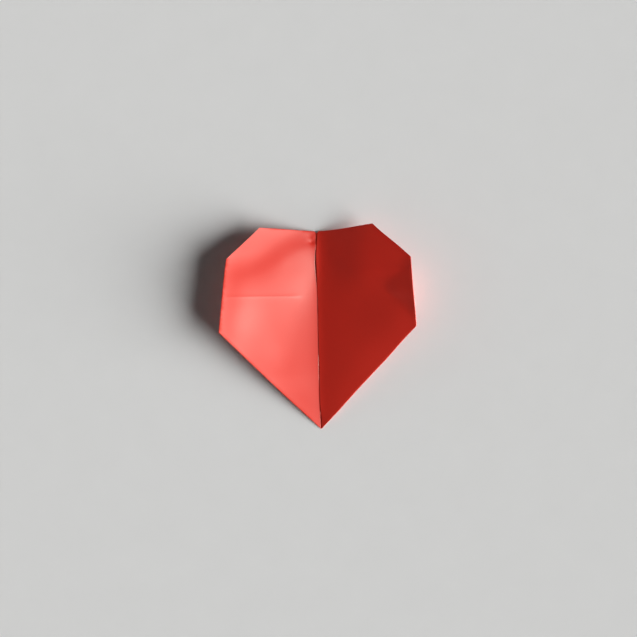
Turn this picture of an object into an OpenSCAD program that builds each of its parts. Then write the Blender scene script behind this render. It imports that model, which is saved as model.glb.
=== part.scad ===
// Origami heart, folded from one square sheet of thin red paper.
// It lies on its back. Both wings rise from the centre crease as a shallow V, and the centre
// crease and the two side tips, which spring open behind the wings, touch the ground.
// Z is up, Y runs from the heart's tip to its notch, and the origin is the middle of the bottom
// of the heart's box. Lengths are in millimetres and angles in degrees.

/* [Sheet] */
// Side of the square sheet
sheet_side = 150; // [130:1:180]
// Thickness of the paper
sheet_t = 0.1; // [0.06:0.01:0.14]
// Air between two layers that lie on each other
layer_air = 0.06; // [0.04:0.01:0.12]

/* [Front folds] */
// Distance of the bottom fold below the middle of the sheet
bottom_fold = 15.2; // [10:0.1:20]
// Height above the heart's tip at which the sheet's top corner lands
top_landing = 15.5; // [8:0.5:25]
// Gap between the two flaps where they meet at the heart's tip
flap_gap = 0.7; // [0.6:0.05:1.2]
// Angle by which the inner edge of each flap leans off the centre line
flap_lean = 0.25; // [0:0.05:1]

/* [Back folds] */
// Distance from the corner of the inner layers to a side fold, along the slanted edge
side_gap = 0.6; // [0.4:0.1:3]
// Inward lean of the left side fold
left_lean = 6; // [0:0.5:10]
// Inward lean of the right side fold
right_lean = 3; // [0:0.5:10]
// Distance of a top fold above the notch, at the centre line
notch_rise = 0.4; // [0.3:0.1:2]
// Angle at which a top fold rises outward
top_rise = 3.5; // [0:0.5:8]

/* [Spring of the folded paper] */
// Angle of each wing above the ground
wing_tilt = 17; // [8:0.5:19]
// Angle by which a top tip stands off the back of its wing
top_spring = 12; // [4:1:25]

/* [Bends] */
// Width of paper that a sharp fold takes up
bend_w = 0.3; // [0.2:0.02:0.3]
// Facets round a sharp fold
bend_steps = 6; // [4:1:10]
// Facets on each side of the centre crease
crease_steps = 2; // [1:1:4]
// Distance past the edge of the bottom corner at which a flap starts to sink
settle_gap = 1; // [0.5:0.1:2]
// Width over which it sinks
settle_w = 8; // [4:1:12]

/* [Hidden] */
paper_red = [0.78, 0.12, 0.1];
snap = 0.000001;
rim_snap = 0.0001;
half_diagonal = sheet_side / sqrt(2);
heart_len = half_diagonal - bottom_fold;
// Layers are numbered from the back. Middle of layer k lies at k times the pitch.
// 0 is the base, 1 the top corner, 2 and 3 the bottom corner, and 5 the flap that shows.
pitch = sheet_t + layer_air;
flap_layer = 5;
sunk_layer = 2;
settle_steps = 4;
flap_angle = 45 - flap_lean / 2;
// The sheet bends upward about this height at the centre crease
crease_axis = flap_layer * pitch + sheet_t / 2 + layer_air;
crease_w = crease_axis * wing_tilt * PI / 180;
// Back folds bend about these heights
side_axis = -pitch / 2;
top_axis = (sunk_layer - 1) * pitch;
// Corners of the flat sheet, with the heart's tip as the origin
bottom_corner = [0, bottom_fold - half_diagonal];
top_corner = [0, bottom_fold + half_diagonal];
// Height of the fold that brings the top corner to its landing
top_fold = (top_corner.y + top_landing) / 2;
// Point of the slanted edge whose x and y add up to a sum
function on_slant(sum) =
    let (along = (sum - flap_gap / 2) / (cos(flap_angle) + sin(flap_angle)))
    [flap_gap / 2 + along * cos(flap_angle), along * sin(flap_angle)];
// Corner of the sheet that forms a side tip, and where the side fold starts
tip_corner = on_slant(top_corner.y);
side_start = on_slant(heart_len) + side_gap * [cos(flap_angle), sin(flap_angle)];

// Turn of a side fold, at which its tip just reaches the ground.
// The tip's corner swings on a circle about the fold's axis, and its lowest layer counts.
function side_turn(lean) =
    let (
        reach = (tip_corner - side_start) * [cos(lean), sin(lean)] - bend_w / 2,
        rise = (tip_corner - side_start) * [-sin(lean), cos(lean)],
        skin = sunk_layer * pitch + sheet_t / 2 - side_axis,
        axis_x = side_start.x - rise * sin(lean) - bend_w / 2,
        axis_z = crease_axis - (crease_axis - side_axis) * cos(wing_tilt)
            + (axis_x - crease_w) * sin(wing_tilt),
        swing = norm([reach, skin]),
        lead = atan2(skin, reach)
    )
    wing_tilt + lead + 180 - asin(min(1, (axis_z + sheet_t / 2) / swing));

// A fold: a point on its line, the direction in which the turned part lies, 1 to turn it to
// the front or -1 to the back, the axis height, the angle, the width and the facets of the
// bend, and the half of the heart that it belongs to, 1 for right, -1 for left, 0 for both.
function fold(at, facing, front, axis, turn, width = bend_w, steps = bend_steps, half = 0) =
    [at, [cos(facing), sin(facing)], front, axis, turn, width, steps, half];
function at(f) = f[0];
function facing(f) = f[1];
function front(f) = f[2];
function axis(f) = f[3];
function turn(f) = f[4];
function width(f) = f[5];
function steps(f) = f[6];
function half(f) = f[7];

front_folds = [
    fold([0, top_fold], 90, 1, pitch / 2, 180),
    fold([0, 0], -90, 1, pitch, 180),
    fold([flap_gap / 2, 0], flap_angle - 90, 1, flap_layer / 2 * pitch, 180),
    fold([-flap_gap / 2, 0], 270 - flap_angle, 1, flap_layer / 2 * pitch, 180)
];
notch = heart_len + notch_rise;
back_folds = [
    fold([0, notch], 90 + top_rise, -1, top_axis, 180 - top_spring, half = 1),
    fold([0, notch], 90 - top_rise, -1, top_axis, 180 - top_spring, half = -1),
    fold(side_start, right_lean, -1, side_axis, side_turn(right_lean), half = 1),
    fold([-side_start.x, side_start.y], 180 - left_lean, -1, side_axis,
         side_turn(left_lean), half = -1)
];
crease_folds = [
    for (half = [1, -1])
        fold([half * crease_w / 2, 0], half > 0 ? 0 : 180, 1, crease_axis, wing_tilt,
             crease_w, crease_steps)
];
// Lines about which a flap sinks, each written as a fold with no turn
settle_at = [0, heart_len + (settle_gap + settle_w / 2) * sqrt(2)];
settle_lines = [
    fold(settle_at, 45, 1, 0, 0, settle_w, settle_steps, 1),
    fold(settle_at, 135, 1, 0, 0, settle_w, settle_steps, -1)
];

// A vertex of the sheet holds its place in the flat sheet, and its front and back points.
// A facet is a convex list of vertices, which run anticlockwise as seen from the sheet's front.
function vertex(p) = [[p.x, p.y, 0], [p.x, p.y, sheet_t / 2], [p.x, p.y, -sheet_t / 2]];
function flat(v) = v[0];
function top(v) = v[1];
function under(v) = v[2];
function half_sheet(half) =
    let (
        first = half > 0 ? bottom_corner : top_corner,
        last = half > 0 ? top_corner : bottom_corner
    )
    [for (p = [first, [half * half_diagonal, bottom_fold], last]) vertex(p)];
function middle(v) = (top(v) + under(v)) / 2;
function in_half(p, f) = half(f) == 0 || p.x * half(f) > 0;
// Distance of a point past the line of a fold
function past(p, f) = ([p.x, p.y] - at(f)) * facing(f);
function snapped(d) = abs(d) < snap ? 0 : d;

// Point where the edge from a to b meets a line, worked out from the same end for both of
// the facets that share the edge
function meeting(a, b, da, db) =
    flat(a).x < flat(b).x || (flat(a).x == flat(b).x && flat(a).y < flat(b).y)
        ? a + (b - a) * (da / (da - db))
        : b + (a - b) * (db / (db - da));

// The part of a facet on one side of a line
function part_of(facet, d, sign) = [
    for (i = [0 : len(facet) - 1])
        let (j = (i + 1) % len(facet))
        each concat(
            d[i] * sign >= 0 ? [facet[i]] : [],
            d[i] * d[j] < 0 ? [meeting(facet[i], facet[j], d[i], d[j])] : []
        )
];
function cut_facet(facet, f, offset) =
    let (d = [for (v = facet) snapped(past(middle(v), f) - offset)])
    min(d) >= 0 || max(d) <= 0 || max([for (v = facet) middle(v).x * half(f)]) < 0
        ? [facet]
        : [part_of(facet, d, 1), part_of(facet, d, -1)];

// Cuts the facets along the lines where the bend starts, turns and ends
function cut_all(facets, f, i = 0) =
    i > steps(f)
        ? facets
        : let (offset = width(f) * (i / steps(f) - 0.5))
          cut_all([for (facet = facets) each cut_facet(facet, f, offset)], f, i + 1);

// Bends one point about the axis of a fold
function bent(p, f) =
    let (
        start = -width(f) / 2,
        s = past(p, f),
        angle = turn(f) * min(1, (s - start) / width(f)),
        over = max(0, s + start),
        radius = front(f) * (axis(f) - p.z),
        q = start + radius * sin(angle) + over * cos(angle),
        z = axis(f) - front(f) * (radius * cos(angle) - over * sin(angle))
    )
    s <= start || !in_half(p, f)
        ? p
        : [p.x + facing(f).x * (q - s), p.y + facing(f).y * (q - s), z];

// Lets a point above the top corner's layer sink as far as the empty layers below allow
function sunk(p, f) =
    let (
        low = pitch + sheet_t / 2,
        high = flap_layer * pitch - sheet_t / 2,
        across = min(1, max(0, past(p, f) / width(f) + 0.5)),
        ease = across * across * (3 - 2 * across),
        lift = min(1, max(0, (p.z - low) / (high - low)))
    )
    in_half(p, f) ? [p.x, p.y, p.z - ease * lift * (flap_layer - sunk_layer) * pitch] : p;

function folded(facets, folds, i = 0) =
    i == len(folds)
        ? facets
        : folded([for (facet = cut_all(facets, folds[i]))
                     [for (v = facet)
                         [flat(v), bent(top(v), folds[i]), bent(under(v), folds[i])]]],
                 folds, i + 1);
function settled(facets, lines, i = 0) =
    i == len(lines)
        ? facets
        : settled([for (facet = cut_all(facets, lines[i]))
                      [for (v = facet)
                          [flat(v), sunk(top(v), lines[i]), sunk(under(v), lines[i])]]],
                  lines, i + 1);

// Distance of a vertex past a side of the flat sheet, and whether an edge lies on a side
function past_side(v, facing) =
    [flat(v).x, flat(v).y - bottom_fold] * [cos(facing), sin(facing)] - sheet_side / 2;
function on_rim(a, b) =
    max([for (k = [45 : 90 : 315]) min(past_side(a, k), past_side(b, k))]) > -rim_snap;

// Triangles of a facet's two faces, and of the rim that joins them along the sheet's edge
function top_face(facet) = [
    for (i = [1 : len(facet) - 2]) [top(facet[0]), top(facet[i + 1]), top(facet[i])]
];
function under_face(facet) = [
    for (i = [1 : len(facet) - 2]) [under(facet[0]), under(facet[i]), under(facet[i + 1])]
];
function rim(facet) = [
    for (i = [0 : len(facet) - 1])
        let (a = facet[i], b = facet[(i + 1) % len(facet)])
        if (on_rim(a, b))
            each [[top(a), top(b), under(b)], [top(a), under(b), under(a)]]
];

module folded_sheet() {
    folded_to_front = folded([half_sheet(1), half_sheet(-1)], front_folds);
    folded_to_back = folded(settled(folded_to_front, settle_lines), back_folds);
    facets = folded(folded_to_back, crease_folds);
    triangles = [
        for (facet = facets)
            each concat(top_face(facet), under_face(facet), rim(facet))
    ];
    points = [for (triangle = triangles) each triangle];
    low = [for (k = [0 : 2]) min([for (p = points) p[k]])];
    high = [for (k = [0 : 2]) max([for (p = points) p[k]])];
    color(paper_red)
        translate([-(low.x + high.x) / 2, -(low.y + high.y) / 2, -low.z])
            polyhedron(points, [for (i = [0 : 3 : len(points) - 3]) [i, i + 1, i + 2]]);
}

folded_sheet();
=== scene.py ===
"""Origami heart, folded from one square sheet of thin red paper and lying on a pale floor.

The flat sheet is folded in the order in which the paper was folded: each fold cuts the sheet
along its bend and turns the front and back points past it about the axis of the bend. The slack
of the real paper, its ridges and its small dents are added between the folds. The sheet is worked
out in millimetres, with the heart's tip as the origin, and the mesh is made in metres.
"""

from collections import namedtuple

import bpy
import numpy as np
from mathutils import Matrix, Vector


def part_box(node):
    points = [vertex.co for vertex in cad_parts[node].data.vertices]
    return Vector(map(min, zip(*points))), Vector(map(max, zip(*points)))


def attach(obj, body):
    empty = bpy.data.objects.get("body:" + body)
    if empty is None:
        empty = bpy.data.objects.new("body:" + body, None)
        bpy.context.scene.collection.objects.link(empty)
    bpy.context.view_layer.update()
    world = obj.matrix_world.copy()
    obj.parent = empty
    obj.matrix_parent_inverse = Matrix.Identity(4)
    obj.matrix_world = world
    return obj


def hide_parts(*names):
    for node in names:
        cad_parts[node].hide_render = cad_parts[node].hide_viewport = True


MM = 0.001

# Sheet
SIDE = 150.0
THICK = 0.1
AIR = 0.015

# Front folds
BOTTOM_FOLD = 15.2
TOP_LANDING = 15.5
FLAP_GAP = 0.7
FLAP_LEAN = 0.25

# Back folds
SIDE_GAP = 0.6
LEFT_LEAN = 6.0
RIGHT_LEAN = 3.0
NOTCH_RISE = 0.4
TOP_RISE = 3.5

# Spring of the folded paper
WING_TILT = 17.0
TOP_SPRING = 12.0
SETTLE_W = 26.0

# Bends
BEND_W = 0.3
BEND_STEPS = 5
CREASE_STEPS = 4

# Cells of the flat sheet, fine for what shows and coarse to measure by
FINE_CELLS = 98
COARSE_CELLS = 25

# How near a point lies to a line that it is on, and how near two points lie that are one
SNAP = 1e-6
WELD = 1e-5

# Angle in degrees from which an edge is shown sharp
SHARP = 40

# Layers are numbered from the back: 0 the base, 1 the top corner, 2 and 3 the bottom corner,
# and 5 the flap that shows, which sinks to 2 outside the inner layers
PITCH = THICK + AIR
FLAP_LAYER = 5
INNER_LAYER = 3
SUNK_LAYER = 2
HALF_DIAGONAL = SIDE / np.sqrt(2)
HEART_LEN = HALF_DIAGONAL - BOTTOM_FOLD
FLAP_ANGLE = 45 - FLAP_LEAN / 2
CREASE_AXIS = FLAP_LAYER * PITCH + THICK / 2 + AIR
CREASE_W = CREASE_AXIS * np.radians(WING_TILT)
SIDE_AXIS = -PITCH / 2
TOP_AXIS = (SUNK_LAYER - 1) * PITCH
TOP_FOLD = (BOTTOM_FOLD + HALF_DIAGONAL + TOP_LANDING) / 2
NOTCH = HEART_LEN + NOTCH_RISE

# How far a pressed fold brings its layers to its axis, and the width of that
PRESS = 0.45
PRESS_W = 6.0

# Ridge of a flap: where it starts beside the centre line, the angle at which it falls, its
# height, its widths past the crest and before it, the right flap's share of it, and the share
# that it loses on its way out
RIDGE_START = np.array([2.0, 84.6])
RIDGE_FALL = 29.0
RIDGE_LIFT = 0.39
RIDGE_STEEP = 6.5
RIDGE_GENTLE = 18.0
RIDGE_RIGHT = 0.2
RIDGE_LOSS = 0.45

# Dents of the left flap at the notch: place, height and width of each
DENTS = [
    (-2.9, 86.5, -0.34, 0.9), (-1.5, 89.0, 0.20, 1.0),
    (-3.8, 88.6, -0.20, 1.1), (-1.2, 84.6, 0.15, 1.3),
]

# Fine crease across the left flap
CREASE_Y = 61.6
CREASE_LIFT = 0.09
CREASE_FADE = 0.7

# Curl of the flaps' inner edges: its height at the top of the left one, its height all along
# the right one, what that gains around a place, how far both reach, and how far from the slit
# and from the fine crease the lines lie that are cut for them
LEFT_CURL = 0.30
RIGHT_CURL = 0.25
RIGHT_CURL_GAIN = 0.49
RIGHT_CURL_Y = 84
LEFT_CURL_W = 2.5
RIGHT_CURL_W = 1.5
CURL_LINES = (0.6, 1.2, 2.0, 3.2)

# Slit: how far its edges lie from the centre line where it is shut, how much further the right
# one lies at the notch and the left one in the bow, and how far in the flaps move with them
SLIT_SHUT = 0.02
SLIT_NOTCH = 0.5
SLIT_BOW = 0.95
SLIT_REACH = 12

# Where the slit bows to the left, how far the centre crease does too, their length, and how
# far the crease's bow reaches sideways
BOW_Y = 77.0
BOW_W = 8.5
CREASE_BOW = 0.7
BOW_REACH = 10.0

# Slow waves of the wings: height, the lengths along x and y, and phase of each
WAVES = [(0.02, 5.1, 7.3, 0.6), (0.015, 3.7, -5.9, 2.1), (0.015, 8.3, 3.9, 4.0)]

# Slips of hand folding: a place on the heart, and how far it lies from its true place. Then
# how far around the places they reach, and the weight with which every point stays put
SLIPS = [
    (0, 0, 0.25, 0.5), (0, 30, 0, 0), (0, 60, 0, 0), (0, 90, 0, 0),
    (-46, 47, -0.6, 0.45), (-46, 64, -0.5, 0), (-43, 79, -0.5, 0.3), (-35.5, 86, 0.5, -0.2),
    (-27.5, 93, 3.5, 0.15), (-16, 92, 0, 0.2), (-6, 91.3, 0, 0.2),
    (23, 23.5, -0.6, 0.6), (46, 47, -0.6, 1.5), (45.5, 62, 0.2, 0.7), (44.5, 78.5, 0, 1.4),
    (27.5, 93.3, -2.4, 1.1), (15, 92, 0, 0.3), (6, 91.5, 0.2, -0.9),
]
SLIP_REACH = 14.0
SLIP_REST = 0.1

# Camera, straight above the photograph's middle
PHOTO_PIXELS = 637
PIXELS_PER_MM = 2.171
CAMERA_HEIGHT = 545.0
CAMERA_ROLL = -1.37
VIEW_MIDDLE = (0.2, 51.2)

# Window light, with its angles in degrees, and the room's dim light
WINDOW_ZENITH = 69.2
WINDOW_AZIMUTH = -18
WINDOW_WIDTH = 52
WINDOW_POWER = 6.6
ROOM_STRENGTH = 0.02

# Floor and the ring round it, in metres
FLOOR_RADIUS = 6.0
RING_HEIGHT = 2.4
RING_SIDES = 96

# Columns of the sheet's array: place in the flat sheet, front point, back point, wear at folds
FLAT = slice(0, 2)
FRONT = slice(2, 5)
BACK = slice(5, 8)
WORN = 8
COLUMNS = 9

Fold = namedtuple("Fold", "at facing front axis turn width steps half")


def direction(degrees):
    """Unit vector at an angle from +X."""
    return np.array([np.cos(np.radians(degrees)), np.sin(np.radians(degrees))])


def fold(at, facing, front, axis, turn, width=BEND_W, steps=BEND_STEPS, half=0):
    """A fold: a point on its line, the way its turned part lies, 1 to the front or -1 to the
    back, the height of its axis, its turn in degrees, its width and facets, and the half of
    the sheet that it folds, 1 for the right one, -1 for the left one or 0 for both."""
    return Fold(np.array(at), direction(facing), front, axis, turn, width, steps, half)


def eased(value, start, end):
    """0 up to the start and 1 from the end on, with t * t * (3 - 2 t) between them, where t is
    the share of the way."""
    t = np.clip((value - start) / (end - start), 0, 1)
    return t * t * (3 - 2 * t)


def rising(value, width):
    """0 below 0 and the value itself above it, with a soft bend: the width times the logarithm
    of 1 plus e to value over width."""
    return width * np.logaddexp(0, value / width)


def hump(distance, width):
    """Bell curve: e to the minus square of distance over width."""
    return np.exp(-((distance / width) ** 2))


def on_slant(total):
    """Point of the heart's slanted edge whose x and y add up to a total."""
    along = (total - FLAP_GAP / 2) / direction(FLAP_ANGLE).sum()
    return np.array([FLAP_GAP / 2, 0]) + along * direction(FLAP_ANGLE)


TIP_CORNER = on_slant(BOTTOM_FOLD + HALF_DIAGONAL)
SIDE_START = on_slant(HEART_LEN) + SIDE_GAP * direction(FLAP_ANGLE)


def side_turn(lean):
    """Turn of a side fold at which its tip just reaches the ground: the tip's corner swings on
    a circle about the fold's axis, whose height comes from the tilt of the wing."""
    arm = TIP_CORNER - SIDE_START
    reach = arm @ direction(lean) - BEND_W / 2
    rise = arm @ direction(lean + 90)
    skin = SUNK_LAYER * PITCH + THICK / 2 - SIDE_AXIS
    tilt = np.radians(WING_TILT)
    axis_x = SIDE_START[0] - rise * np.sin(np.radians(lean)) - BEND_W / 2
    axis_z = (CREASE_AXIS - (CREASE_AXIS - SIDE_AXIS) * np.cos(tilt)
              + (axis_x - CREASE_W) * np.sin(tilt))
    lead = np.degrees(np.arctan2(skin, reach))
    drop = np.degrees(np.arcsin(min(1, (axis_z + THICK / 2) / np.hypot(reach, skin))))
    return WING_TILT + lead + 180 - drop


def flat_sheet(cells):
    """Grid over the square sheet, whose squares are split along the heart's centre line. Point
    (i, j) lies i steps along one side from the bottom corner and j steps along the other."""
    steps = np.linspace(0, SIDE, cells + 1)
    along, across = np.meshgrid(steps, steps, indexing="ij")
    x = (along - across) / np.sqrt(2)
    y = (along + across) / np.sqrt(2) + BOTTOM_FOLD - HALF_DIAGONAL
    points = np.zeros((cells + 1, cells + 1, COLUMNS))
    for column, value in ((0, x), (1, y), (2, x), (3, y), (5, x), (6, y)):
        points[..., column] = value
    points[..., 4] = THICK / 2
    points[..., 7] = -THICK / 2
    low, right = points[:-1, :-1], points[1:, :-1]
    high, left = points[1:, 1:], points[:-1, 1:]
    pairs = np.stack([np.stack([low, right, high], 2), np.stack([low, high, left], 2)], 2)
    return pairs.reshape(-1, 3, COLUMNS)


def half_of(sheet):
    """1 for triangles right of the heart's centre line and -1 for those left of it."""
    return np.sign(sheet[:, :, 0].mean(axis=1))


def past(points, f):
    """Distance of points past the line of a fold."""
    return (points[..., 0] - f.at[0]) * f.facing[0] + (points[..., 1] - f.at[1]) * f.facing[1]


def meeting(a, b, at_a, at_b):
    """Where edges from a to b cross a line, from their ends' distances to it. It starts from
    the same end for both of the triangles that share an edge, so their points are the same."""
    turned = (b[:, 0] < a[:, 0]) | ((b[:, 0] == a[:, 0]) & (b[:, 1] < a[:, 1]))
    first, last = np.where(turned[:, None], b, a), np.where(turned[:, None], a, b)
    at_first, at_last = np.where(turned, at_b, at_a), np.where(turned, at_a, at_b)
    return first + (last - first) * (at_first / (at_first - at_last))[:, None]


def cut(sheet, f, offset):
    """Splits the triangles that cross the line at an offset past a fold. Corner 0 is turned to
    the corner on the line, which gives two triangles, or to the lone one, which gives three."""
    distance = past((sheet[..., FRONT] + sheet[..., BACK]) / 2, f) - offset
    distance = np.where(np.abs(distance) < SNAP, 0, distance)
    sign = np.sign(distance)
    mine = (f.half == 0) | (half_of(sheet) == f.half)
    crossed = mine & (sign.min(axis=1) < 0) & (sign.max(axis=1) > 0)
    whole, sheet = sheet[~crossed], sheet[crossed]
    distance, sign = distance[crossed], sign[crossed]
    touching = (sign == 0).any(axis=1)
    lone = np.where(touching, np.argmax(sign == 0, axis=1),
                    np.argmax(sign == -sign.sum(axis=1, keepdims=True), axis=1))
    order = (lone[:, None] + np.arange(3)) % 3
    sheet = np.take_along_axis(sheet, order[..., None], axis=1)
    distance = np.take_along_axis(distance, order, axis=1)

    a, b, c = np.moveaxis(sheet[touching], 1, 0)
    between = meeting(b, c, distance[touching, 1], distance[touching, 2])
    halves = [np.stack([a, b, between], 1), np.stack([a, between, c], 1)]

    a, b, c = np.moveaxis(sheet[~touching], 1, 0)
    at_a, at_b, at_c = distance[~touching].T
    to_b, to_c = meeting(a, b, at_a, at_b), meeting(a, c, at_a, at_c)
    thirds = [np.stack([a, to_b, to_c], 1), np.stack([to_b, b, c], 1),
              np.stack([to_b, c, to_c], 1)]
    return np.concatenate([whole] + halves + thirds)


def bent(points, f):
    """Turns points about the axis of a fold. Up to the bend they stay, within it they go round
    the axis by a share of the turn, and past it by the whole turn and on along the tangent."""
    start = -f.width / 2
    s = past(points, f)
    angle = np.radians(f.turn) * np.clip((s - start) / f.width, 0, 1)
    over = np.maximum(0, s + start)
    radius = f.front * (f.axis - points[..., 2])
    reach = start + radius * np.sin(angle) + over * np.cos(angle)
    moved = points.copy()
    moved[..., :2] += (reach - s)[..., None] * f.facing
    moved[..., 2] = f.axis - f.front * (radius * np.cos(angle) - over * np.sin(angle))
    return np.where((s <= start)[..., None], points, moved)


def pressed(points, f):
    """Brings points near a fold's line towards the height of its axis, by a bell curve of their
    distance to the line, as a thumbnail presses a fold flat."""
    keep = 1 - PRESS * hump(past(points, f), PRESS_W)
    height = f.axis + (points[..., 2] - f.axis) * keep
    return np.concatenate([points[..., :2], height[..., None]], -1)


def folded(sheet, folds, press=True):
    """Cuts the sheet along each fold's bend and bends it. A fold that is pressed is flattened
    before it, and worn along the bend."""
    for f in folds:
        for offset in np.linspace(-f.width / 2, f.width / 2, f.steps + 1):
            sheet = cut(sheet, f, offset)
        mine = (f.half == 0) | (half_of(sheet) == f.half)
        moving = sheet[mine]
        if press:
            reach = past((moving[..., FRONT] + moving[..., BACK]) / 2, f) / f.width * 2
            moving[..., WORN] = np.maximum(moving[..., WORN], 1 - np.abs(reach))
        for skin in (FRONT, BACK):
            points = pressed(moving[..., skin], f) if press else moving[..., skin]
            moving[..., skin] = bent(points, f)
        sheet[mine] = moving
    return sheet


def settled(sheet):
    """Lets the flaps sink outside the inner layers, where there is nothing under them: an eased
    share of the empty layers' height, over a band beside the inner layers' slanted edge."""
    for skin in (FRONT, BACK):
        x, y, z = np.moveaxis(sheet[..., skin], -1, 0)
        past_edge = (np.abs(x) + y - HEART_LEN) / np.sqrt(2)
        low, high = PITCH + THICK / 2, FLAP_LAYER * PITCH - THICK / 2
        lift = np.clip((z - low) / (high - low), 0, 1)
        drop = eased(past_edge, 0, SETTLE_W) * lift * (FLAP_LAYER - SUNK_LAYER) * PITCH
        sheet[..., skin] = np.stack([x, y, z - drop], -1)
    return sheet


def scored(sheet):
    """Cuts the sheet where it curls tightly, beside the slit and along the fine crease, so that
    it has points to bend at."""
    across, upward = fold([0, 0], 0, 1, 0, 0), fold([0, CREASE_Y], 90, 1, 0, 0)
    for line in CURL_LINES:
        sheet = cut(cut(sheet, across, line), across, -line)
        sheet = cut(cut(sheet, upward, line - CURL_LINES[0]), upward, CURL_LINES[0] - line)
    return sheet


def slackened(sheet):
    """Gives the flaps the slack of the real paper, scaled down to nothing at the layers under
    them. Each flap rises to a ridge that runs outward from the notch, as a bell curve that is
    steeper past its crest. Its inner edge is drawn to the centre line, apart from the slit, which
    bows to the left, and curls up by an exponential of the distance to it, the left one only
    beside the slit. The left flap has small dents at the notch, which are bell curves, and a
    fine crease across it, which fades by an exponential on both sides."""
    sheet = scored(sheet)
    right = (half_of(sheet) > 0)[:, None]
    for skin in (FRONT, BACK):
        x, y, z = np.moveaxis(sheet[..., skin], -1, 0)
        low, high = INNER_LAYER * PITCH + THICK / 2, FLAP_LAYER * PITCH - THICK / 2
        flap = eased(z, low, high)
        out = np.abs(x)
        from_top = NOTCH + out * np.tan(np.radians(TOP_RISE)) - y
        beyond = (np.stack([out, y], -1) - RIDGE_START) @ direction(90 - RIDGE_FALL)
        ridge = RIDGE_LIFT * hump(beyond, np.where(beyond > 0, RIDGE_STEEP, RIDGE_GENTLE))
        ridge *= eased(y - out, 0, 50) * eased(from_top, 0, 9) * np.where(right, RIDGE_RIGHT, 1)
        ridge *= 1 - RIDGE_LOSS * eased(out, 16, 32)
        dents = sum(height * hump(np.hypot(x - dent_x, y - dent_y), width)
                    for dent_x, dent_y, height, width in DENTS)
        crease = np.exp(-np.abs(y - CREASE_Y) / CREASE_FADE) * eased(out, 7, 11)
        edge = FLAP_GAP / 2 + y * np.tan(np.radians(FLAP_LEAN))
        inward = np.maximum(0, out - edge)
        left_curl = LEFT_CURL * eased(y, 72, 88) * np.exp(-inward / LEFT_CURL_W)
        right_curl = RIGHT_CURL + RIGHT_CURL_GAIN * hump(y - RIGHT_CURL_Y, 14)
        right_curl *= np.exp(-inward / RIGHT_CURL_W)
        lift = ridge + np.where(right, right_curl, left_curl + dents + CREASE_LIFT * crease)
        at_notch, at_bow = SLIT_NOTCH * eased(y, 79, 91), SLIT_BOW * hump(y - BOW_Y, BOW_W)
        slit = SLIT_SHUT + np.where(right, at_notch, at_bow)
        shift = -np.where(right, 1, -1) * (edge - slit) * np.exp(-inward / SLIT_REACH)
        sheet[..., skin] = np.stack([x + flap * shift, y, z + flap * lift], -1)
    return sheet


def shifted(sheet):
    """Moves the outline by the slips of hand folding: each point goes along with the places
    near it, by a mean that weighs them by a bell curve of their distance, and stays where
    none is near."""
    places, moves = np.array(SLIPS).reshape(-1, 2, 2).transpose(1, 0, 2)
    for skin in (FRONT, BACK):
        points = sheet[..., skin]
        weight = hump(np.linalg.norm(points[..., None, :2] - places, axis=-1), SLIP_REACH)
        points[..., :2] += (weight @ moves) / (weight.sum(-1, keepdims=True) + SLIP_REST)
    return sheet


def swayed(sheet, way):
    """Moves the sheet to the right by the bow of the centre crease, before the straight folding
    of the crease, or back to the left after it. The move fades out by an exponential."""
    for skin in (FRONT, BACK):
        x, y = sheet[..., skin.start], sheet[..., skin.start + 1]
        bow = CREASE_BOW * hump(y - BOW_Y, BOW_W) * np.exp(-np.abs(x) / BOW_REACH)
        sheet[..., skin.start] = x + way * bow
    return sheet


def left_spring(out, y):
    """Height that the left wing has sprung from flat: it dips beside the centre crease, by an
    exponential whose length grows below the slit, and comes back up towards the slanted edge,
    its lower part rises less steeply, and its side edge and top corner turn up. Bare numbers
    here are slopes, or places in millimetres out from the crease and up from the tip."""
    length = 1 + 8 * eased(y, 73, 43)
    dip = -0.1 * length * (1 - np.exp(-out / length)) * (1 - 0.7 * eased(y, 36, 12))
    back_up = 0.08 * (length - 1) * eased(out - 0.35 * y, 3, 29)
    slope = 0.005 + 0.042 * eased(y, 66, 16) + 0.025 * eased(y, 26, 14)
    side = 0.05 * rising(out - 35, 3) * eased(y, 80, 68)
    corner = 0.07 * rising(0.6 * out + 0.8 * y - 79.5, 1.5) * eased(y, 68, 84)
    return dip + back_up - slope * out + side + corner


def right_spring(out, y):
    """Height that the right wing has sprung from flat: it leans back a little, more so in its
    lower part, rises beside the slit, rounds off towards the lower slanted edge by the square
    of the distance to the crease, and is lifted in a triangle at its side, where the side tip
    lies behind it: the lower of two planes that rise from a point, with a soft bend. Bare
    numbers here are as in left_spring."""
    lean = 0.012 + 0.026 * eased(y, 82, 46)
    beside_slit = 1.2 * eased(out, 3, 26) * eased(y, 58, 74)
    rounding = -0.035 * out ** 2 / np.maximum(y, 12) * eased(y, 52, 30)
    past_point, above_point = out - 31, y - 65
    lower = 0.18 * (past_point + above_point)
    upper = 0.11 * (past_point - above_point)
    triangle = rising(lower - rising(lower - upper, 0.25), 0.1)
    return beside_slit + rounding + triangle - lean * out


def sprung(sheet):
    """Bends the wings as the real paper has sprung, and gives them the slow waves of handled
    paper: sine waves that cross each other and fade out towards the centre crease. The tips
    behind, which stand on the ground, stay where they are."""
    right = (half_of(sheet) > 0)[:, None]
    for skin in (FRONT, BACK):
        x, y, z = np.moveaxis(sheet[..., skin], -1, 0)
        wave = sum(height * np.sin(x / along + y / across + phase)
                   for height, along, across, phase in WAVES)
        out = np.abs(x)
        lift = wave * eased(out, 2, 16)
        lift += np.where(right, right_spring(out, y), left_spring(out, y))
        sheet[..., skin] = np.stack([x, y, z + lift * eased(z, -4, 0)], -1)
    return sheet


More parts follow.
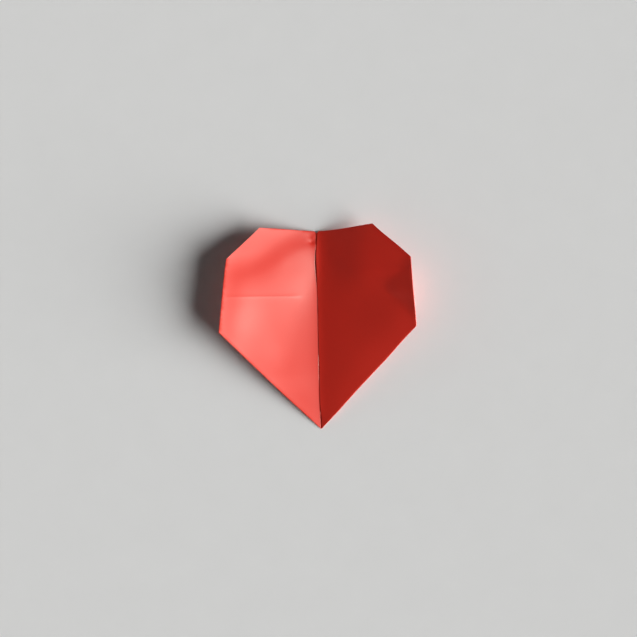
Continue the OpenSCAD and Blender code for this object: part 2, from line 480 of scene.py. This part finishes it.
def fold_sheet(cells, slack):
    """The folded sheet, as triangles. Without slack it has the size of the plain model."""
    flap_axis = FLAP_LAYER / 2 * PITCH
    sheet = folded(flat_sheet(cells), [
        fold([0, TOP_FOLD], 90, 1, PITCH / 2, 180),
        fold([0, 0], -90, 1, PITCH, 180),
        fold([FLAP_GAP / 2, 0], FLAP_ANGLE - 90, 1, flap_axis, 180),
        fold([-FLAP_GAP / 2, 0], 270 - FLAP_ANGLE, 1, flap_axis, 180),
    ])
    sheet = settled(slackened(sheet) if slack else sheet)
    left_start = [-SIDE_START[0], SIDE_START[1]]
    sheet = folded(sheet, [
        fold([0, NOTCH], 90 + TOP_RISE, -1, TOP_AXIS, 180 - TOP_SPRING, half=1),
        fold([0, NOTCH], 90 - TOP_RISE, -1, TOP_AXIS, 180 - TOP_SPRING, half=-1),
        fold(SIDE_START, RIGHT_LEAN, -1, SIDE_AXIS, side_turn(RIGHT_LEAN), half=1),
        fold(left_start, 180 - LEFT_LEAN, -1, SIDE_AXIS, side_turn(LEFT_LEAN), half=-1),
    ])
    sheet = swayed(sprung(shifted(sheet)), 1) if slack else sheet
    sheet = folded(sheet, [
        fold([CREASE_W / 2, 0], 0, 1, CREASE_AXIS, WING_TILT, CREASE_W, CREASE_STEPS),
        fold([-CREASE_W / 2, 0], 180, 1, CREASE_AXIS, WING_TILT, CREASE_W, CREASE_STEPS),
    ], press=False)
    return swayed(sheet, -1) if slack else sheet


def box_of(sheet):
    """Lowest and highest corner of the box round a folded sheet."""
    points = np.concatenate([sheet[..., FRONT], sheet[..., BACK]])
    return points.min(axis=(0, 1)), points.max(axis=(0, 1))


def mesh_of(name, sheet, offset):
    """Joins the triangles that share a place in the flat sheet, closes front and back by a rim
    along the edges that only one triangle has, and keeps the flat place as the UV map."""
    keys = np.round(sheet[..., FLAT].reshape(-1, 2) / WELD).astype(np.int64)
    _, index, corner = np.unique(keys, axis=0, return_index=True, return_inverse=True)
    corners = corner.reshape(-1, 3)
    same = (corners == np.roll(corners, 1, axis=1)).any(axis=1)
    corners = corners[~same]
    points = sheet.reshape(-1, COLUMNS)[index]
    count = len(points)
    edges = np.concatenate([corners[:, [0, 1]], corners[:, [1, 2]], corners[:, [2, 0]]])
    _, first, uses = np.unique(np.sort(edges, axis=1), axis=0, return_index=True,
                               return_counts=True)
    a, b = edges[first[uses == 1]].T
    rim = np.concatenate([np.stack([b, a, a + count], 1), np.stack([b, a + count, b + count], 1)])
    triangles = np.concatenate([corners, corners[:, ::-1] + count, rim])
    places = (np.concatenate([points[:, FRONT], points[:, BACK]]) + offset) * MM

    mesh = bpy.data.meshes.new(name)
    mesh.from_pydata(places, [], triangles)
    flat = (points[:, FLAT] - [0, BOTTOM_FOLD]) / (2 * HALF_DIAGONAL) + 0.5
    uv = mesh.uv_layers.new(name="sheet")
    uv.data.foreach_set("uv", np.concatenate([flat, flat])[triangles.ravel()].ravel())
    worn = mesh.attributes.new("worn", "FLOAT", "POINT")
    worn.data.foreach_set("value", np.tile(np.maximum(points[:, WORN], 0), 2))
    mesh.shade_smooth()
    mesh.set_sharp_from_angle(angle=np.radians(SHARP))
    return mesh


class Wire:
    """A node's output, on which plain arithmetic adds Math nodes."""

    def __init__(self, finish, socket):
        self.finish = finish
        self.socket = socket

    def math(self, operation, first, second):
        return self.finish.node("ShaderNodeMath", {"operation": operation},
                                {0: first, 1: second})[0]

    def __add__(self, other):
        return self.math("ADD", self, other)

    __radd__ = __add__

    def __mul__(self, other):
        return self.math("MULTIPLY", self, other)

    __rmul__ = __mul__


class Finish:
    """A material whose nodes are made by one method."""

    def __init__(self, name):
        self.material = bpy.data.materials.new(name)
        self.material.use_nodes = True
        self.tree = self.material.node_tree
        self.tree.nodes.clear()

    def node(self, kind, settings=None, inputs=None):
        """Adds a node, makes its settings first and then its inputs, each a value or a Wire,
        and returns its outputs as Wires, under their numbers and names."""
        made = self.tree.nodes.new(kind)
        for name, value in (settings or {}).items():
            setattr(made, name, value)
        for name, value in (inputs or {}).items():
            if isinstance(value, Wire):
                self.tree.links.new(value.socket, made.inputs[name])
            else:
                made.inputs[name].default_value = value
        wires = {number: Wire(self, socket) for number, socket in enumerate(made.outputs)}
        wires.update({socket.name: Wire(self, socket) for socket in made.outputs})
        return wires

    def blend(self, share, first, second):
        """Colour between two colours."""
        mixed = self.node("ShaderNodeMix", {"data_type": "RGBA"},
                          {0: share, 6: first, 7: second})
        return mixed[2]

    def noise(self, where, scale, detail, roughness):
        """Cloudy noise between 0 and 1."""
        return self.node("ShaderNodeTexNoise", {},
                         {"Vector": where, "Scale": scale, "Detail": detail,
                          "Roughness": roughness})["Fac"]

    def close(self, shader):
        self.node("ShaderNodeOutputMaterial", {}, {"Surface": shader})
        return self.material


def paper():
    """Thin red paper: short fibres and faint clouds in its colour and roughness, paler along
    worn folds, and some light that passes through it."""
    finish = Finish("paper")
    sheet = finish.node("ShaderNodeUVMap", {"uv_map": "sheet"})["UV"]
    along = finish.node("ShaderNodeMapping", {}, {"Vector": sheet, "Scale": (1.0, 4.0, 1.0)})
    across = finish.node("ShaderNodeMapping", {}, {"Vector": sheet, "Scale": (4.0, 1.0, 1.0)})
    fibres = (finish.noise(along["Vector"], 150.0, 3.0, 0.6)
              + finish.noise(across["Vector"], 150.0, 3.0, 0.6)) * 0.5
    clouds = finish.noise(sheet, 9.0, 3.0, 0.5)
    grain = finish.noise(sheet, 600.0, 2.0, 0.6)
    worn = finish.node("ShaderNodeAttribute", {"attribute_name": "worn"})["Fac"]

    deep, bright = (0.92, 0.018, 0.005, 1.0), (0.97, 0.029, 0.010, 1.0)
    colour = finish.blend(fibres * 0.6 + clouds * 0.4, deep, bright)
    colour = finish.blend(worn * fibres * 0.25, colour, (0.90, 0.16, 0.12, 1.0))
    bump = finish.node("ShaderNodeBump", {}, {"Strength": 0.25, "Distance": 0.00003,
                                              "Height": fibres + grain * 0.5})["Normal"]
    body = finish.node("ShaderNodeBsdfPrincipled", {},
                       {"Base Color": colour, "Roughness": fibres * 0.12 + 0.31,
                        "IOR": 1.85, "Specular IOR Level": 1.0,
                        "Specular Tint": (1.0, 0.97, 0.86, 1.0), "Normal": bump})["BSDF"]
    through = finish.node("ShaderNodeBsdfTranslucent", {},
                          {"Color": (0.90, 0.05, 0.03, 1.0)})["BSDF"]
    return finish.close(finish.node("ShaderNodeMixShader", {},
                                    {0: 0.15, 1: body, 2: through})["Shader"])


def floor_finish():
    """Pale matt board with faint mottling."""
    finish = Finish("pale_board")
    place = finish.node("ShaderNodeTexCoord")["Object"]
    mottle = finish.noise(place, 60.0, 4.0, 0.6)
    colour = finish.blend(mottle, (0.735, 0.735, 0.725, 1.0), (0.765, 0.765, 0.755, 1.0))
    return finish.close(finish.node("ShaderNodeBsdfPrincipled", {},
                                    {"Base Color": colour, "Roughness": 0.85,
                                     "Specular IOR Level": 0.2})["BSDF"])


def backdrop_finish():
    """Pale glow for what looks at the backdrop, and plain grey for the light that falls on
    it."""
    finish = Finish("backdrop")
    path = finish.node("ShaderNodeLightPath")
    seen = path["Is Camera Ray"] + path["Is Glossy Ray"] + path["Is Transmission Ray"]
    plain = finish.node("ShaderNodeBsdfDiffuse", {}, {"Color": (0.35, 0.35, 0.35, 1.0)})["BSDF"]
    glow = finish.node("ShaderNodeEmission", {}, {"Color": (0.6, 0.6, 0.59, 1.0)})["Emission"]
    return finish.close(finish.node("ShaderNodeMixShader", {},
                                    {0: seen, 1: plain, 2: glow})["Shader"])


def add_object(name, data):
    made = bpy.data.objects.new(name, data)
    bpy.context.scene.collection.objects.link(made)
    return made


def folded_paper():
    """The folded sheet in the place of the plain one: the offset takes the middle of the plain
    folding's box to that of the CAD node's box, and the sheet's lowest point to its bottom."""
    plain = fold_sheet(COARSE_CELLS, slack=False)
    box_low, box_high = np.array(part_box("folded_sheet")) / MM
    low, high = box_of(plain)
    offset = (box_low + box_high - low - high) / 2
    sheet = fold_sheet(FINE_CELLS, slack=True)
    seated = np.array([offset[0], offset[1], box_low[2] - box_of(sheet)[0][2]])
    piece = add_object("heart_paper", mesh_of("heart_paper", sheet, seated))
    piece.data.materials.append(paper())
    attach(piece, "root")
    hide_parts("folded_sheet")
    return offset


def floor():
    """Large pale floor, a regular polygon, and a low ring round it, which looks inward, so that
    no view looks past them."""
    angle = np.linspace(0, 2 * np.pi, RING_SIDES, endpoint=False)
    ring = np.stack([np.cos(angle), np.sin(angle), np.zeros(RING_SIDES)], 1) * FLOOR_RADIUS
    board = bpy.data.meshes.new("floor")
    board.from_pydata(ring, [], [range(RING_SIDES)])
    board.materials.append(floor_finish())
    add_object("floor", board)
    here = np.arange(RING_SIDES)
    nearby = (here + 1) % RING_SIDES
    wall = bpy.data.meshes.new("backdrop")
    wall.from_pydata(np.concatenate([ring, ring + [0, 0, RING_HEIGHT]]), [],
                     np.stack([nearby, here, here + RING_SIDES, nearby + RING_SIDES], 1))
    wall.materials.append(backdrop_finish())
    backdrop = add_object("backdrop", wall)
    backdrop.visible_shadow = False


def camera(offset):
    """Straight above the middle of the photograph, rolled as the photograph is."""
    scene = bpy.context.scene
    lens = bpy.data.cameras.new("camera")
    half_view = PHOTO_PIXELS / PIXELS_PER_MM / 2
    lens.angle = 2 * np.arctan(half_view / CAMERA_HEIGHT)
    made = add_object("camera", lens)
    made.location = np.array([VIEW_MIDDLE[0] + offset[0], VIEW_MIDDLE[1] + offset[1],
                              CAMERA_HEIGHT]) * MM
    made.rotation_euler = (0, 0, np.radians(CAMERA_ROLL))
    scene.camera = made
    scene.view_settings.view_transform = "Standard"


def lights():
    """A wide, low window light from the right and a little from the tip's side, and a dim
    room."""
    window = bpy.data.lights.new("window", "SUN")
    window.energy = WINDOW_POWER
    window.angle = np.radians(WINDOW_WIDTH)
    made = add_object("window", window)
    made.rotation_euler = (0, np.radians(WINDOW_ZENITH), np.radians(WINDOW_AZIMUTH))
    world = bpy.data.worlds.new("room")
    world.use_nodes = True
    world.node_tree.nodes["Background"].inputs["Color"].default_value = (1, 1, 1, 1)
    world.node_tree.nodes["Background"].inputs["Strength"].default_value = ROOM_STRENGTH
    bpy.context.scene.world = world


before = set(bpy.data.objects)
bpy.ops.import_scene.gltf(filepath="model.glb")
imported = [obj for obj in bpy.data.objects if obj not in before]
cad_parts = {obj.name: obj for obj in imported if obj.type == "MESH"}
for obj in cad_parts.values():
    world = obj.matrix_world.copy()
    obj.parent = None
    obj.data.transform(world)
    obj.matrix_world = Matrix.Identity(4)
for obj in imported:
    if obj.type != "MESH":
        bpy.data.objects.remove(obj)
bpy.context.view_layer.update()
sheet_offset = folded_paper()
floor()
camera(sheet_offset)
lights()
